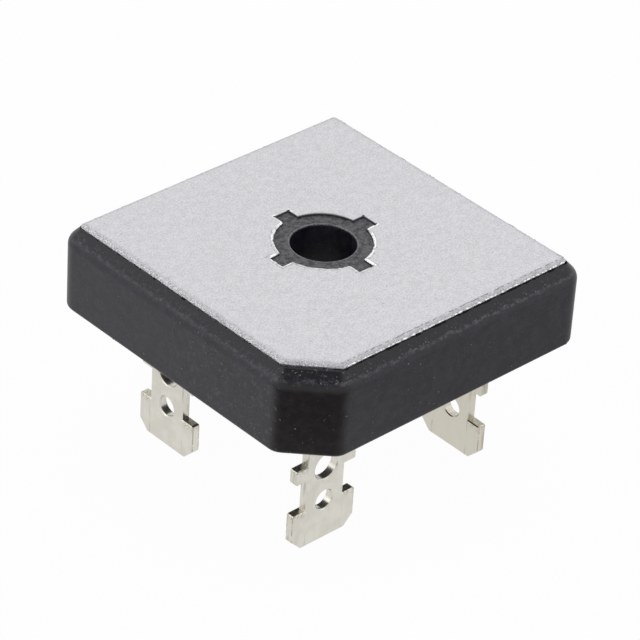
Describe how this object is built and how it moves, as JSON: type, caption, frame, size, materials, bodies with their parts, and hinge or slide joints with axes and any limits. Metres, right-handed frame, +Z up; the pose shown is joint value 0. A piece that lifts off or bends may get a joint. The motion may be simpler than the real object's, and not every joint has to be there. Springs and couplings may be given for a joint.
{
  "type": "bridge rectifier",
  "caption": "Square chassis-mount bridge rectifier: metal heat-sink plate, black moulded body with a screw hole through its middle, and push-on tabs.",
  "frame": {"origin": "on the screw hole's axis, in the plane of the tabs' tips, on which the part stands", "axes": "+Z up from the tabs to the heat-sink face; seen from the cut corner, +X along the right side of the body and +Y along its left side, so the cut corner is at -X -Y"},
  "size_m": [0.0286, 0.0286, 0.0191],
  "materials": {
    "heat_sink_plate": "bare stamped sheet, matte, with a rolled edge worn bright",
    "moulded_body": "black moulded epoxy with a fine matte grain",
    "tab_plating": "satin tin plate over copper alloy",
    "copper": "plain rolled copper",
    "solder": "dull reflowed solder",
    "silicon": "silicon die with plated faces",
    "ceramic": "white alumina, unglazed",
    "bond": "grey heat-conducting adhesive"
  },
  "bodies": {
    "root": {"base_plate": "heat_sink_plate", "moulded_body": "moulded_body", "insulator_bond": "bond", "insulator": "ceramic", "terminal_positive": "tab_plating", "tab_solder_positive": "solder", "pad_positive": "copper", "terminal_negative": "tab_plating", "tab_solder_negative": "solder", "pad_negative": "copper", "terminal_ac_1": "tab_plating", "tab_solder_ac_1": "solder", "pad_ac_1": "copper", "terminal_ac_2": "tab_plating", "tab_solder_ac_2": "solder", "pad_ac_2": "copper", "diode_1": "silicon", "die_solder_1": "solder", "jumper_1": "copper", "clip_solder_1": "solder", "landing_solder_1": "solder", "diode_2": "silicon", "die_solder_2": "solder", "jumper_2": "copper", "clip_solder_2": "solder", "landing_solder_2": "solder", "diode_3": "silicon", "die_solder_3": "solder", "jumper_3": "copper", "clip_solder_3": "solder", "landing_solder_3": "solder", "diode_4": "silicon", "die_solder_4": "solder", "jumper_4": "copper", "clip_solder_4": "solder", "landing_solder_4": "solder"}
  },
  "joints": []
}
